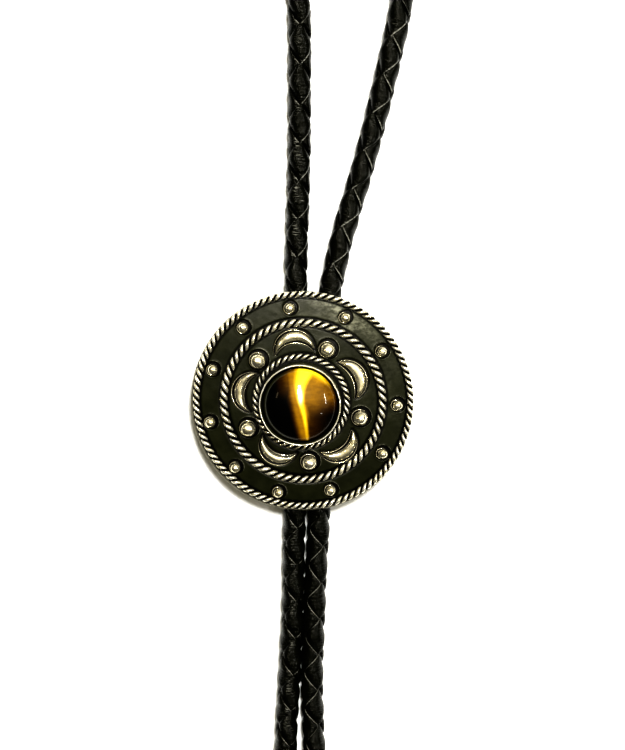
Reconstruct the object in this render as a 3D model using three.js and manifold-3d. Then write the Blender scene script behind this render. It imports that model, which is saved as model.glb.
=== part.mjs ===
// Bolo tie: a round domed concho with a tiger's-eye cabochon, on a braided leather cord
// with metal tips. Millimetres, +Z up. The tie lies on its back on the plane z = 0, the
// concho faces +Z, the neck loop runs towards +Y and the two tails towards -Y. The origin is
// under the centre of the concho's disc, at the level of the clip's flat underside.
import * as THREE from 'three';
import { mergeVertices } from 'three/addons/utils/BufferGeometryUtils.js';
import Module from 'manifold-3d';

// ---------------------------------------------------------------- driving dimensions
const DISC_R = 22.6;          // outer radius of the concho's disc
const DISC_T = 1.2;           // thickness of its sheet
const DISC_RISE = 1.5;        // how far its centre stands above its rim
const RIM_TOP_Z = 6.6;        // top face of the disc at the rim
const DISC_SEGMENTS = 52;

// Rope-wire rings soldered to the disc: radius of the ring, radius of the wire. The outer and
// the middle ring share a centre a little off the disc's, and the bezel's ring has the bezel's.
// The beads and crescents are laid out round a centre of their own.
const ROPES_CENTRE = { x: 0.32, y: 0.32 };
const RINGS_CENTRE = { x: 0.20, y: 0.26 };
const OUTER_ROPE = { ring: 21.80, wire: 0.70 };
const MIDDLE_ROPE = { ring: 16.14, wire: 0.82 };
const BEZEL_ROPE = { ring: 9.30, wire: 0.64 };
const ROPE_SUNK = 0.25;       // how deep a rope sits in its solder
const SHEET_R = 22.25;        // radius of the domed sheet under the ropes

// Round beads: clock angle in degrees from +Y, distance from the rings' centre.
const OUTER_BEAD_R = 1.16, OUTER_BEAD_RING = 19.25;
const OUTER_BEADS = [353, 322, 27, 57, 91.5, 122.5, 162, 195, 226, 258, 290.5];
const INNER_BEAD_R = 1.68, INNER_BEAD_RING = 12.20;
const INNER_BEADS = [25.5, 103, 172.5, 245, 315.5];
const BEAD_SUNK = 0.35;       // how deep a bead sits in its solder

// Crescents: clock angle of the middle of the chord between the tips, its distance from the
// rings' centre, half the chord, the rise of the outer and of the inner arc, and a small turn.
const CRESCENT_H = 0.95;
const CRESCENTS = [
  { clock: 352.0, out: 10.3, half: 4.00, outer: 4.50, inner: 2.05, turn: 0 },
  { clock: 63.5, out: 10.1, half: 4.10, outer: 4.15, inner: 1.30, turn: 0 },
  { clock: 139.0, out: 10.6, half: 3.95, outer: 4.45, inner: 1.70, turn: 5 },
  { clock: 207.5, out: 10.0, half: 3.90, outer: 4.15, inner: 1.85, turn: 0 },
  { clock: 280.5, out: 10.1, half: 4.05, outer: 4.25, inner: 1.85, turn: 0 },
];

// Bezel and stone.
const BEZEL = { x: 0.00, y: 0.27, outer: 8.25, wall: 0.50, top: 12.40 };
const STONE = { r: 7.42, bottom: 8.45, girdle: 11.60, top: 14.80 };

// Clip behind the disc: a sleeve with one oblong channel along Y.
const CLIP = { x: 1.30, width: 12.60, height: 6.30, length: 14.0, channelW: 10.20, channelH: 5.0 };
const CHANNEL_Z = CLIP.height / 2;

// Cord: tube radius, and its route. Every row is one point on the centreline.
const CORD_R = 2.15;
const CORD_SIDES = 8, CORD_STEPS = 70;
const FLOOR_Z = 2.4;          // centreline of a run that lies on the surface
const LOOP = { x: 0.6, y: 224.0, r: 20.6 };   // round end of the neck loop
const LEFT_RUN = [            // from the left tip up to the loop
  { x: -3.75, y: -77.3, z: 2.95 }, { x: -3.50, y: -69.0, z: 2.45 }, { x: -2.93, y: -60.0, z: FLOOR_Z },
  { x: -2.12, y: -42.7, z: FLOOR_Z }, { x: -1.92, y: -29.0, z: 2.45 }, { x: -1.35, y: -14.0, z: 2.95 },
  { x: -1.15, y: -5.5, z: CHANNEL_Z }, { x: -1.15, y: 5.5, z: CHANNEL_Z }, { x: -1.18, y: 14.0, z: 2.95 },
  { x: -1.38, y: 27.0, z: 2.45 }, { x: -0.85, y: 45.0, z: FLOOR_Z }, { x: -0.65, y: 63.0, z: FLOOR_Z },
  { x: -1.00, y: 82.0, z: FLOOR_Z }, { x: -4.60, y: 102.0, z: FLOOR_Z }, { x: -11.5, y: 124.0, z: FLOOR_Z },
  { x: -17.8, y: 148.0, z: FLOOR_Z }, { x: -20.0, y: 178.0, z: FLOOR_Z },
];
const LOOP_ANGLES = [0, 36, 72, 108, 144, 180];
const RIGHT_RUN = [           // from the loop down to the right tip
  { x: 21.2, y: 200.0, z: FLOOR_Z }, { x: 21.4, y: 165.0, z: FLOOR_Z }, { x: 21.7, y: 128.0, z: FLOOR_Z },
  { x: 21.5, y: 98.0, z: FLOOR_Z }, { x: 19.7, y: 80.5, z: FLOOR_Z }, { x: 16.6, y: 65.5, z: FLOOR_Z },
  { x: 12.6, y: 49.4, z: FLOOR_Z }, { x: 7.3, y: 30.6, z: 2.45 }, { x: 4.55, y: 15.5, z: 2.90 },
  { x: 3.80, y: 5.5, z: CHANNEL_Z }, { x: 3.75, y: -5.5, z: CHANNEL_Z }, { x: 3.60, y: -14.0, z: 2.95 },
  { x: 3.05, y: -29.0, z: 2.45 }, { x: 2.38, y: -42.7, z: FLOOR_Z }, { x: 1.85, y: -60.0, z: FLOOR_Z },
  { x: 2.05, y: -69.0, z: 2.45 }, { x: 2.45, y: -77.3, z: 2.95 },
];

// Tips: plain round ferrules, lying flat.
const TIP = { r: 2.9, length: 40.0, gap: 0.3, segments: 20 };

// ---------------------------------------------------------------- helpers
const wasm = await Module();
wasm.setup();

const rad = (degrees) => (degrees * Math.PI) / 180;

/** Place on the disc's face for a clock angle and a distance from the rings' centre. */
function clockPlace(clock, distance) {
  return { x: RINGS_CENTRE.x + distance * Math.sin(rad(clock)), y: RINGS_CENTRE.y + distance * Math.cos(rad(clock)) };
}

/** Height of the disc's top face at a distance from the disc's centre. */
function discTop(r) {
  return RIM_TOP_Z + DISC_RISE * (1 - (r / DISC_R) ** 2);
}

function bare(geometry) {
  const g = geometry.index ? geometry.toNonIndexed() : geometry.clone();
  for (const name of Object.keys(g.attributes)) if (name !== 'position') g.deleteAttribute(name);
  return mergeVertices(g, 1e-4);
}

function toSolid(geometry) {
  const g = bare(geometry);
  return new wasm.Manifold(new wasm.Mesh({
    numProp: 3,
    vertProperties: Float32Array.from(g.attributes.position.array),
    triVerts: Uint32Array.from(g.index.array),
  }));
}

function fromSolid(solid) {
  const mesh = solid.getMesh();
  const g = new THREE.BufferGeometry();
  const flat = new Float32Array((mesh.vertProperties.length / mesh.numProp) * 3);
  for (let i = 0; i < flat.length / 3; i++) {
    for (let k = 0; k < 3; k++) flat[3 * i + k] = mesh.vertProperties[mesh.numProp * i + k];
  }
  g.setAttribute('position', new THREE.BufferAttribute(flat, 3));
  g.setIndex(new THREE.BufferAttribute(Uint32Array.from(mesh.triVerts), 1));
  return g;
}

/** A closed solid of revolution about +Z from a profile of [radius, z] pairs, bottom to top. */
function turned(profile, segments, x = 0, y = 0) {
  const g = new THREE.LatheGeometry(profile.map(([r, z]) => new THREE.Vector2(r, z)), segments);
  g.rotateX(Math.PI / 2);      // the lathe's axis is Y
  g.translate(x, y, 0);
  return g;
}

/** The part of a rope ring's section that stands over the disc, outside to inside. */
function ropeSection({ ring, wire }, steps) {
  const z = discTop(ring) + wire - ROPE_SUNK, points = [];
  for (let i = 0; i <= steps; i++) {
    const a = rad(-30 + (240 * i) / steps);
    points.push([ring + wire * Math.cos(a), z + wire * Math.sin(a)]);
  }
  return points;
}

/** Crescent outline: tips at +-half on the x axis, both arcs bulging towards +y. */
function crescentShape({ half, outer, inner }) {
  const arc = (rise, steps) => {
    const r = (half * half + rise * rise) / (2 * rise);
    const cy = rise - r;
    const a0 = Math.atan2(-cy, half), points = [];
    for (let i = 0; i <= steps; i++) {
      const a = a0 + ((Math.PI - 2 * a0) * i) / steps;
      points.push(new THREE.Vector2(r * Math.cos(a), cy + r * Math.sin(a)));
    }
    return points;
  };
  const out = arc(outer, 10), back = arc(inner, 6).reverse();
  return new THREE.Shape([...out, ...back.slice(1, -1)]);
}

// ---------------------------------------------------------------- concho
function conchoGeometry() {
  // Domed sheet with the outer and the middle rope ring, in one turned section.
  const lower = [0, 9, 16, SHEET_R].map((r) => [r, discTop(r) - DISC_T]);
  const upper = [
    ...ropeSection(OUTER_ROPE, 4),
    [18.8, discTop(18.8)],
    ...ropeSection(MIDDLE_ROPE, 4),
    [12.0, discTop(12.0)],
    [6.0, discTop(6.0)],
    [0, discTop(0)],
  ];
  let body = toSolid(turned([...lower, ...upper], DISC_SEGMENTS, ROPES_CENTRE.x, ROPES_CENTRE.y));

  // Edge of the disc, which shows a little past the outer rope on one side.
  const edgeLow = RIM_TOP_Z - DISC_T + 0.08, edgeHigh = RIM_TOP_Z - 0.12;
  body = body.add(toSolid(turned(
    [[21.0, edgeLow], [DISC_R, edgeLow], [DISC_R, edgeHigh], [21.0, edgeHigh], [21.0, edgeLow]], DISC_SEGMENTS)));

  const beads = [
    ...OUTER_BEADS.map((clock) => ({ clock, r: OUTER_BEAD_R, at: OUTER_BEAD_RING })),
    ...INNER_BEADS.map((clock) => ({ clock, r: INNER_BEAD_R, at: INNER_BEAD_RING })),
  ];
  for (const bead of beads) {
    const p = clockPlace(bead.clock, bead.at);
    const g = new THREE.SphereGeometry(bead.r, 8, 4);
    g.rotateX(Math.PI / 2);
    g.translate(p.x, p.y, discTop(bead.at) + bead.r - BEAD_SUNK);
    body = body.add(toSolid(g));
  }

  for (const crescent of CRESCENTS) {
    const p = clockPlace(crescent.clock, crescent.out);
    const g = new THREE.ExtrudeGeometry(crescentShape(crescent), { depth: CRESCENT_H + 0.5, bevelEnabled: false });
    g.rotateZ(-rad(crescent.clock + crescent.turn));
    g.translate(p.x, p.y, discTop(crescent.out + 2) - 0.5);
    body = body.add(toSolid(g));
  }

  // Bezel wall with the rope ring round its foot.
  const inner = BEZEL.outer - BEZEL.wall, foot = discTop(BEZEL.outer) - 0.4;
  const wall = turned([
    [inner, foot], [BEZEL_ROPE.ring + 0.3, foot], ...ropeSection(BEZEL_ROPE, 4).slice(0, 4),
    [BEZEL.outer, discTop(BEZEL.outer) + 0.9], [BEZEL.outer, BEZEL.top], [inner, BEZEL.top], [inner, foot],
  ], 40, BEZEL.x, BEZEL.y);
  body = body.add(toSolid(wall));
  return fromSolid(body);
}

// ---------------------------------------------------------------- stone
function stoneGeometry() {
  const rise = STONE.top - STONE.girdle;
  const profile = [[0, STONE.bottom], [STONE.r, STONE.bottom]];
  const steps = 8;
  for (let i = 0; i <= steps; i++) {
    const a = rad((90 * i) / steps);
    profile.push([i === steps ? 0 : STONE.r * Math.cos(a), STONE.girdle + rise * Math.sin(a)]);
  }
  return turned(profile, 36, BEZEL.x, BEZEL.y);
}

// ---------------------------------------------------------------- clip
function oblong(width, height, steps) {
  // A rectangle with round ends, centred on the origin, counter-clockwise.
  const r = height / 2, c = width / 2 - r, points = [];
  for (let i = 0; i <= steps; i++) {
    const a = -Math.PI / 2 + (Math.PI * i) / steps;
    points.push(new THREE.Vector2(c + r * Math.cos(a), r * Math.sin(a)));
  }
  for (let i = 0; i <= steps; i++) {
    const a = Math.PI / 2 + (Math.PI * i) / steps;
    points.push(new THREE.Vector2(-c + r * Math.cos(a), r * Math.sin(a)));
  }
  return points;
}

function clipGeometry() {
  const outline = new THREE.Shape();
  const w = CLIP.width / 2, h = CLIP.height / 2, c = 1.2;
  outline.moveTo(-w + c, -h);
  outline.lineTo(w - c, -h);
  outline.lineTo(w, -h + c);
  outline.lineTo(w, h - c);
  outline.lineTo(w - c, h);
  outline.lineTo(-w + c, h);
  outline.lineTo(-w, h - c);
  outline.lineTo(-w, -h + c);
  outline.closePath();
  outline.holes.push(new THREE.Path(oblong(CLIP.channelW, CLIP.channelH, 8)));
  const g = new THREE.ExtrudeGeometry(outline, { depth: CLIP.length, bevelEnabled: false });
  g.translate(0, 0, -CLIP.length / 2);
  g.rotateX(Math.PI / 2);      // extruded along Z, the sleeve runs along Y
  return g;
}

// ---------------------------------------------------------------- cord
function cordRoute() {
  const loop = LOOP_ANGLES.map((a) => ({
    x: LOOP.x - LOOP.r * Math.cos(rad(a)), y: LOOP.y + LOOP.r * Math.sin(rad(a)), z: FLOOR_Z,
  }));
  return new THREE.CatmullRomCurve3(
    [...LEFT_RUN, ...loop, ...RIGHT_RUN].map((p) => new THREE.Vector3(p.x, p.y, p.z)), false, 'centripetal');
}

function cordGeometry() {
  const route = cordRoute();
  route.arcLengthDivisions = 2000;
  const section = new THREE.Shape();
  for (let i = 0; i < CORD_SIDES; i++) {
    const a = (2 * Math.PI * (i + 0.5)) / CORD_SIDES;
    const x = CORD_R * Math.cos(a), y = CORD_R * Math.sin(a);
    if (i === 0) section.moveTo(x, y); else section.lineTo(x, y);
  }
  section.closePath();
  return new THREE.ExtrudeGeometry(section, { steps: CORD_STEPS, extrudePath: route });
}

// ---------------------------------------------------------------- tips
function tipGeometry(run) {
  // A round ferrule with a collar at its mouth and a domed end, turned about its own axis.
  const { r, length } = TIP;
  const profile = [
    [0, 0], [r - 0.3, 0], [r, 0.3], [r, 3.6], [r - 0.35, 4.0], [r - 0.35, length - 4.0],
    [r - 0.55, length - 2.2], [r - 1.25, length - 0.8], [0, length],
  ];
  const g = turned(profile, TIP.segments);
  g.rotateX(Math.PI / 2);      // +Z of the profile becomes -Y, away from the concho
  g.translate(run.x, run.y - TIP.gap, run.z);
  return g;
}

// ---------------------------------------------------------------- assembly
const finish = {
  silver: { color: 0x9c9680, roughness: 0.28, metalness: 1.0 },
  plain: { color: 0x8f8a78, roughness: 0.4, metalness: 1.0 },
  stone: { color: 0x8a5a14, roughness: 0.12, metalness: 0.0 },
  leather: { color: 0x0d0d0a, roughness: 0.45, metalness: 0.0 },
};

function piece(name, geometry, look) {
  const g = bare(geometry);
  g.computeVertexNormals();
  const mesh = new THREE.Mesh(g, new THREE.MeshStandardMaterial({ ...finish[look] }));
  mesh.name = name;
  return mesh;
}

const boloTie = new THREE.Group();

const ornament = new THREE.Group();
ornament.add(piece('concho', conchoGeometry(), 'silver'));
ornament.add(piece('stone', stoneGeometry(), 'stone'));
boloTie.add(ornament);

const clip = piece('slide_clip', clipGeometry(), 'plain');
clip.position.set(CLIP.x, 0, CLIP.height / 2);
boloTie.add(clip);

const cord = new THREE.Group();
cord.add(piece('braided_cord', cordGeometry(), 'leather'));
cord.add(piece('tip_left', tipGeometry(LEFT_RUN[0]), 'silver'));
cord.add(piece('tip_right', tipGeometry(RIGHT_RUN[RIGHT_RUN.length - 1]), 'silver'));
boloTie.add(cord);

export default boloTie;
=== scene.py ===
import math

import bpy
import numpy as np
from mathutils import Matrix, Vector


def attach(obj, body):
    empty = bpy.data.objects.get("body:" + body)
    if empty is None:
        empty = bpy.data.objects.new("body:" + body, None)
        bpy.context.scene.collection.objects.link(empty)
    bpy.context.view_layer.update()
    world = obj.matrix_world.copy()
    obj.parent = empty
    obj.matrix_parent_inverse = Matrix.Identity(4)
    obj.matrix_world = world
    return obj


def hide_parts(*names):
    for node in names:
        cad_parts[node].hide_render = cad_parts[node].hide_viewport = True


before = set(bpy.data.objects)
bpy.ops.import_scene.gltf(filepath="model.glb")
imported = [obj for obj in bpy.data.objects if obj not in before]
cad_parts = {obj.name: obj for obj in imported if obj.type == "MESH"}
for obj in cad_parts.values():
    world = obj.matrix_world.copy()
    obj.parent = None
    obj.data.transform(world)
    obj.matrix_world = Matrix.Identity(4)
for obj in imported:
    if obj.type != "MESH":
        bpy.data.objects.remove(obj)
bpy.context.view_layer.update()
MM = 0.001
SCENE = bpy.context.scene

# ------------------------------------------------------------------------------------------------
# Camera: looks down on the ornament from about 10 degrees off the vertical.
# ------------------------------------------------------------------------------------------------
CAMERA_AT = Vector((28.38492382, 74.94134985, 429.40848471)) * MM
CAMERA_BACK = Vector((0.06104854, 0.16160382, 0.98496562)).normalized()   # from the target to the camera
CAMERA_LENS = 67.7504                                                     # with a 24 mm tall sensor

right = Vector((0.0, 1.0, 0.0)).cross(CAMERA_BACK).normalized()
upward = CAMERA_BACK.cross(right).normalized()
camera_data = bpy.data.cameras.new("camera")
camera_data.sensor_fit = "VERTICAL"
camera_data.sensor_height = 24.0
camera_data.sensor_width = 20.0
camera_data.lens = CAMERA_LENS
camera_data.clip_start = 0.01
camera_data.clip_end = 20.0
camera = bpy.data.objects.new("camera", camera_data)
camera.matrix_world = Matrix((
    (right.x, upward.x, CAMERA_BACK.x, CAMERA_AT.x),
    (right.y, upward.y, CAMERA_BACK.y, CAMERA_AT.y),
    (right.z, upward.z, CAMERA_BACK.z, CAMERA_AT.z),
    (0.0, 0.0, 0.0, 1.0)))
SCENE.collection.objects.link(camera)
SCENE.camera = camera


# ------------------------------------------------------------------------------------------------
# Mesh helpers. All sizes are in millimetres until the mesh is made.
# ------------------------------------------------------------------------------------------------
def smooth(low, high, x):
    t = np.clip((np.asarray(x, float) - low) / (high - low), 0.0, 1.0)
    return t * t * (3.0 - 2.0 * t)


def ripple(points, size, seed, waves=7):
    """A smooth, repeatable irregularity between about -1 and 1 with features of that size."""
    rng = np.random.default_rng(seed)
    points = np.asarray(points, float)
    total = np.zeros(points.shape[:-1])
    for _ in range(waves):
        way = rng.normal(size=3)
        way /= np.linalg.norm(way)
        way *= 2.0 * math.pi / (size * rng.uniform(0.7, 1.6))
        total += np.sin(points @ way + rng.uniform(0.0, 2.0 * math.pi))
    return total / math.sqrt(waves)


def grid_faces(rows, columns, close_rows=False, close_columns=False, start=0):
    """Quads of a grid of vertices, row after row."""
    i = np.arange(rows if close_rows else rows - 1)[:, None]
    j = np.arange(columns if close_columns else columns - 1)[None, :]
    i2, j2 = (i + 1) % rows, (j + 1) % columns
    quads = np.stack([i * columns + j, i * columns + j2, i2 * columns + j2, i2 * columns + j], axis=-1)
    return quads.reshape(-1, 4) + start


class Shape:
    """Vertices, faces and vertex attributes that grow part by part into one mesh."""

    def __init__(self):
        self.points, self.faces, self.attributes, self.uv, self.count = [], [], {}, [], 0

    def add(self, points, quads=None, triangles=None, uv=None, **attributes):
        points = np.asarray(points, float).reshape(-1, 3)
        n = len(points)
        for faces in (quads, triangles):
            if faces is not None and len(faces):
                self.faces.append(np.asarray(faces, np.int64) + self.count)
        for name in set(self.attributes) | set(attributes):
            values = np.broadcast_to(np.asarray(attributes.get(name, 0.0), float).reshape(-1), (n,)) \
                if np.size(attributes.get(name, 0.0)) == 1 else np.asarray(attributes[name], float).reshape(-1)
            self.attributes.setdefault(name, [np.zeros(self.count)] if self.count else []).append(values)
        self.uv.append(np.zeros((n, 2)) if uv is None else np.asarray(uv, float).reshape(-1, 2))
        self.points.append(points)
        self.count += n

    def make(self, name, material, smooth_shade=True):
        points = np.concatenate(self.points) * MM
        loops = np.concatenate([f.reshape(-1) for f in self.faces])
        sizes = np.concatenate([np.full(len(f), f.shape[1]) for f in self.faces])
        starts = np.concatenate([[0], np.cumsum(sizes)[:-1]])
        mesh = bpy.data.meshes.new(name)
        mesh.vertices.add(len(points))
        mesh.vertices.foreach_set("co", points.astype(np.float32).reshape(-1))
        mesh.loops.add(len(loops))
        mesh.loops.foreach_set("vertex_index", loops.astype(np.int32))
        mesh.polygons.add(len(sizes))
        mesh.polygons.foreach_set("loop_start", starts.astype(np.int32))
        mesh.polygons.foreach_set("use_smooth", np.full(len(sizes), smooth_shade))
        mesh.update(calc_edges=True)
        for key, parts in self.attributes.items():
            layer = mesh.attributes.new(key, "FLOAT", "POINT")
            layer.data.foreach_set("value", np.concatenate(parts).astype(np.float32))
        uv = np.concatenate(self.uv)
        if np.any(uv):
            layer = mesh.uv_layers.new(name="along")
            layer.data.foreach_set("uv", uv[loops].astype(np.float32).reshape(-1))
        mesh.materials.append(material)
        obj = bpy.data.objects.new(name, mesh)
        SCENE.collection.objects.link(obj)
        return obj


def lathe(shape, profile, steps, x=0.0, y=0.0, wobble=None, **attributes):
    """Adds a surface of revolution about +Z. Profile rows are (radius, z); it closes on itself, or runs from axis to axis."""
    profile = np.asarray(profile, float)
    on_axis = profile[0][0] < 1e-6 and profile[-1][0] < 1e-6
    ring = profile[1:-1] if on_axis else profile
    a = 2.0 * math.pi * np.arange(steps) / steps
    r = np.repeat(ring[:, 0][:, None], steps, axis=1)
    z = np.repeat(ring[:, 1][:, None], steps, axis=1)
    if wobble is not None:
        r, z = wobble(r, z, a[None, :])
    points = np.stack([x + r * np.sin(a), y + r * np.cos(a), z], axis=-1)
    quads = grid_faces(len(ring), steps, close_rows=not on_axis, close_columns=True)
    values = {k: np.repeat((np.asarray(v, float)[1:-1] if on_axis else np.asarray(v, float))[:, None], steps, axis=1)
              if np.size(v) > 1 else v for k, v in attributes.items()}
    triangles = None
    points = points.reshape(-1, 3)
    if on_axis:
        n = len(points)
        points = np.vstack([points, [x, y, profile[0][1]], [x, y, profile[-1][1]]])
        j = np.arange(steps)
        j2 = (j + 1) % steps
        first = np.stack([np.full(steps, n), j2, j], axis=1)
        last = np.stack([np.full(steps, n + 1), (len(ring) - 1) * steps + j, (len(ring) - 1) * steps + j2], axis=1)
        triangles = np.vstack([first, last])
        values = {k: np.append(np.asarray(v).reshape(-1), [np.asarray(attributes[k], float)[0], np.asarray(attributes[k], float)[-1]])
                  if np.size(v) > 1 else v for k, v in values.items()}
    shape.add(points, quads, triangles, **values)


# ------------------------------------------------------------------------------------------------
# Materials
# ------------------------------------------------------------------------------------------------
class Nodes:
    """A material's nodes, written as short calls."""

    def __init__(self, name):
        self.material = bpy.data.materials.new(name)
        self.material.use_nodes = True
        self.tree = self.material.node_tree
        self.tree.nodes.clear()
        self.output = self.tree.nodes.new("ShaderNodeOutputMaterial")
        self.shader = self.tree.nodes.new("ShaderNodeBsdfPrincipled")
        self.tree.links.new(self.shader.outputs[0], self.output.inputs["Surface"])

    def put(self, node, key, value):
        if isinstance(value, bpy.types.NodeSocket):
            self.tree.links.new(value, node.inputs[key])
        else:
            node.inputs[key].default_value = value

    def set(self, **values):
        for key, value in values.items():
            self.put(self.shader, key.replace("_", " "), value)

    def attribute(self, name):
        node = self.tree.nodes.new("ShaderNodeAttribute")
        node.attribute_name = name
        return node.outputs["Fac"]

    def uv(self):
        node = self.tree.nodes.new("ShaderNodeUVMap")
        node.uv_map = "along"
        return node.outputs["UV"]

    def place(self, scale=(1.0, 1.0, 1.0), source=None):
        node = self.tree.nodes.new("ShaderNodeMapping")
        if source is None:
            source = self.tree.nodes.new("ShaderNodeTexCoord").outputs["Object"]
        self.tree.links.new(source, node.inputs["Vector"])
        node.inputs["Scale"].default_value = scale
        return node.outputs["Vector"]

    def noise(self, vector, scale, detail=3.0, rough=0.55):
        node = self.tree.nodes.new("ShaderNodeTexNoise")
        self.put(node, "Vector", vector)
        self.put(node, "Scale", scale)
        self.put(node, "Detail", detail)
        self.put(node, "Roughness", rough)
        return node.outputs["Fac"]

    def math(self, operation, a, b=0.0, clamp=False):
        node = self.tree.nodes.new("ShaderNodeMath")
        node.operation = operation
        node.use_clamp = clamp
        self.put(node, 0, a)
        self.put(node, 1, b)
        return node.outputs[0]

    def span(self, value, low, high, to_low=0.0, to_high=1.0):
        node = self.tree.nodes.new("ShaderNodeMapRange")
        node.interpolation_type = "SMOOTHSTEP"
        self.put(node, "Value", value)
        self.put(node, "From Min", low)
        self.put(node, "From Max", high)
        self.put(node, "To Min", to_low)
        self.put(node, "To Max", to_high)
        return node.outputs["Result"]

    def mix(self, factor, a, b):
        node = self.tree.nodes.new("ShaderNodeMix")
        node.data_type = "RGBA"
        self.put(node, 0, factor)
        for index, value in ((6, a), (7, b)):
            if isinstance(value, bpy.types.NodeSocket):
                self.tree.links.new(value, node.inputs[index])
            else:
                node.inputs[index].default_value = (*value, 1.0)
        return node.outputs[2]

    def blend(self, factor, a, b):
        node = self.tree.nodes.new("ShaderNodeMix")
        node.data_type = "FLOAT"
        self.put(node, 0, factor)
        self.put(node, 2, a)
        self.put(node, 3, b)
        return node.outputs[0]

    def bump(self, height, strength, distance):
        node = self.tree.nodes.new("ShaderNodeBump")
        self.put(node, "Height", height)
        node.inputs["Strength"].default_value = strength
        node.inputs["Distance"].default_value = distance
        return node.outputs["Normal"]


def antiqued_metal(name, silver=(0.94, 0.91, 0.79), black=(0.004, 0.004, 0.003), polish=0.22, metal=0.78, ragged=0.55):
    """Silver-coloured metal, bright where it is worn and black where the oxide stays. Attribute worn is 1 on high spots."""
    n = Nodes(name)
    worn = n.attribute("worn")
    grain = n.noise(n.place(), 2600.0, 4.0)
    patch = n.noise(n.place(), 700.0, 2.0)
    shifted = n.math("ADD", worn, n.math("MULTIPLY", n.math("SUBTRACT", grain, 0.5), ragged))
    clean = n.span(shifted, 0.30, 0.72)
    tint = n.mix(n.span(patch, 0.35, 0.7), silver, tuple(c * k for c, k in zip(silver, (0.80, 0.78, 0.68))))
    n.set(Base_Color=n.mix(clean, black, tint), Metallic=n.blend(clean, 0.25, metal),
          Roughness=n.blend(clean, 0.50, n.span(grain, 0.3, 0.75, polish - 0.05, polish + 0.10)))
    n.set(Normal=n.bump(grain, 0.35, 0.00004))
    return n.material


def panel_metal():
    """The disc: dark oxidised panels on the face, with painted highlight lines round the moats, a painted sheen patch
    toward the upper right, and plain metal on edge and back.
    """
    n = Nodes("oxidised_disc")
    worn, bare, pit, haze = n.attribute("worn"), n.attribute("bare"), n.attribute("pit"), n.attribute("haze")
    fine = n.noise(n.place(), 3200.0, 4.0)
    cloud = n.noise(n.place(), 260.0, 3.0)
    dark = n.mix(n.span(cloud, 0.3, 0.75), (0.0092, 0.0106, 0.0030), (0.0158, 0.0172, 0.0056))
    smear = n.noise(n.place((1.0, 1.6, 1.0)), 900.0, 5.0, 0.65)
    # Painted sheen: lighter grey where the face catches the light, broken up by smears.
    haze = n.math("MULTIPLY", haze, n.span(smear, 0.40, 0.62, 0.22, 1.0))
    dark = n.mix(haze, dark, (0.200, 0.198, 0.145))
    dark = n.mix(pit, dark, (0.0008, 0.0008, 0.0004))
    bright = n.mix(fine, (0.62, 0.60, 0.50), (0.40, 0.385, 0.31))
    # Bare metal shows where worn is high: on the edge and back, and as the painted highlight lines round the moats.
    shine = n.span(n.math("ADD", worn, n.math("MULTIPLY", n.math("SUBTRACT", fine, 0.5), 0.5)), 0.35, 0.75)
    shine = n.math("MAXIMUM", shine, bare)
    n.set(Base_Color=n.mix(shine, dark, bright), Metallic=n.blend(shine, 0.0, 1.0),
          Roughness=n.blend(shine, n.span(cloud, 0.3, 0.75, 0.31, 0.40), 0.33))
    n.shader.inputs["Specular IOR Level"].default_value = 0.34
    n.set(Normal=n.bump(n.math("ADD", n.math("MULTIPLY", fine, 0.5), n.math("MULTIPLY", cloud, 1.6)), 0.30, 0.00010))
    return n.material


def plain_metal(name, colour, rough):
    n = Nodes(name)
    brushed = n.noise(n.place((1.0, 18.0, 1.0)), 420.0, 4.0)
    grain = n.noise(n.place(), 1900.0, 3.0)
    worn = n.attribute("worn")
    n.set(Base_Color=n.mix(worn, (0.03, 0.028, 0.02), n.mix(grain, colour, tuple(0.82 * c for c in colour))), Metallic=1.0,
          Roughness=n.span(brushed, 0.25, 0.75, rough - 0.06, rough + 0.10))
    n.set(Normal=n.bump(n.math("ADD", brushed, n.math("MULTIPLY", grain, 0.4)), 0.22, 0.00003))
    return n.material


def leather():
    """Black braided laces: gloss, fine creases across each lace, a painted glint line along their edges, painted glint
    flecks and painted shade at the edges.
    """
    n = Nodes("black_leather")
    crease = n.noise(n.place((1.0, 0.16, 1.0), n.uv()), 2.3, 3.0, 0.55)
    fold = n.noise(n.place((1.0, 0.20, 1.0), n.uv()), 0.7, 2.0, 0.5)
    grain = n.noise(n.place(), 3600.0, 4.0)
    speck = n.noise(n.place((1.0, 0.5, 1.0), n.uv()), 3.0, 2.0, 0.6)
    edge, shine, fleck = n.attribute("edge"), n.attribute("shine"), n.attribute("fleck")
    colour = n.mix(n.span(grain, 0.3, 0.8), (0.0022, 0.0026, 0.0008), (0.0046, 0.0051, 0.0018))
    # Painted shade at the lace edges.
    colour = n.mix(edge, colour, (0.0010, 0.0010, 0.0006))
    # Painted glints: bright colour along the top lace's edge and in flecks.
    line = n.math("MULTIPLY", n.span(shine, 0.25, 1.0), n.span(speck, 0.36, 0.58, 0.10, 1.0))
    wrinkle = n.noise(n.place((1.0, 0.28, 1.0), n.uv()), 3.4, 1.0, 0.5)
    line = n.math("MAXIMUM", line, n.math("MULTIPLY", fleck, n.span(wrinkle, 0.53, 0.66)))
    colour = n.mix(line, colour, (0.36, 0.355, 0.31))
    n.set(Base_Color=colour, Roughness=n.span(fold, 0.3, 0.75, 0.13, 0.20))
    n.shader.inputs["Specular IOR Level"].default_value = 0.33
    height = n.math("ADD", n.math("MULTIPLY", crease, 1.0), n.math("ADD", n.math("MULTIPLY", fold, 0.9), n.math("MULTIPLY", grain, 0.16)))
    n.set(Normal=n.bump(height, 0.85, 0.00030))
    return n.material


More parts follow.
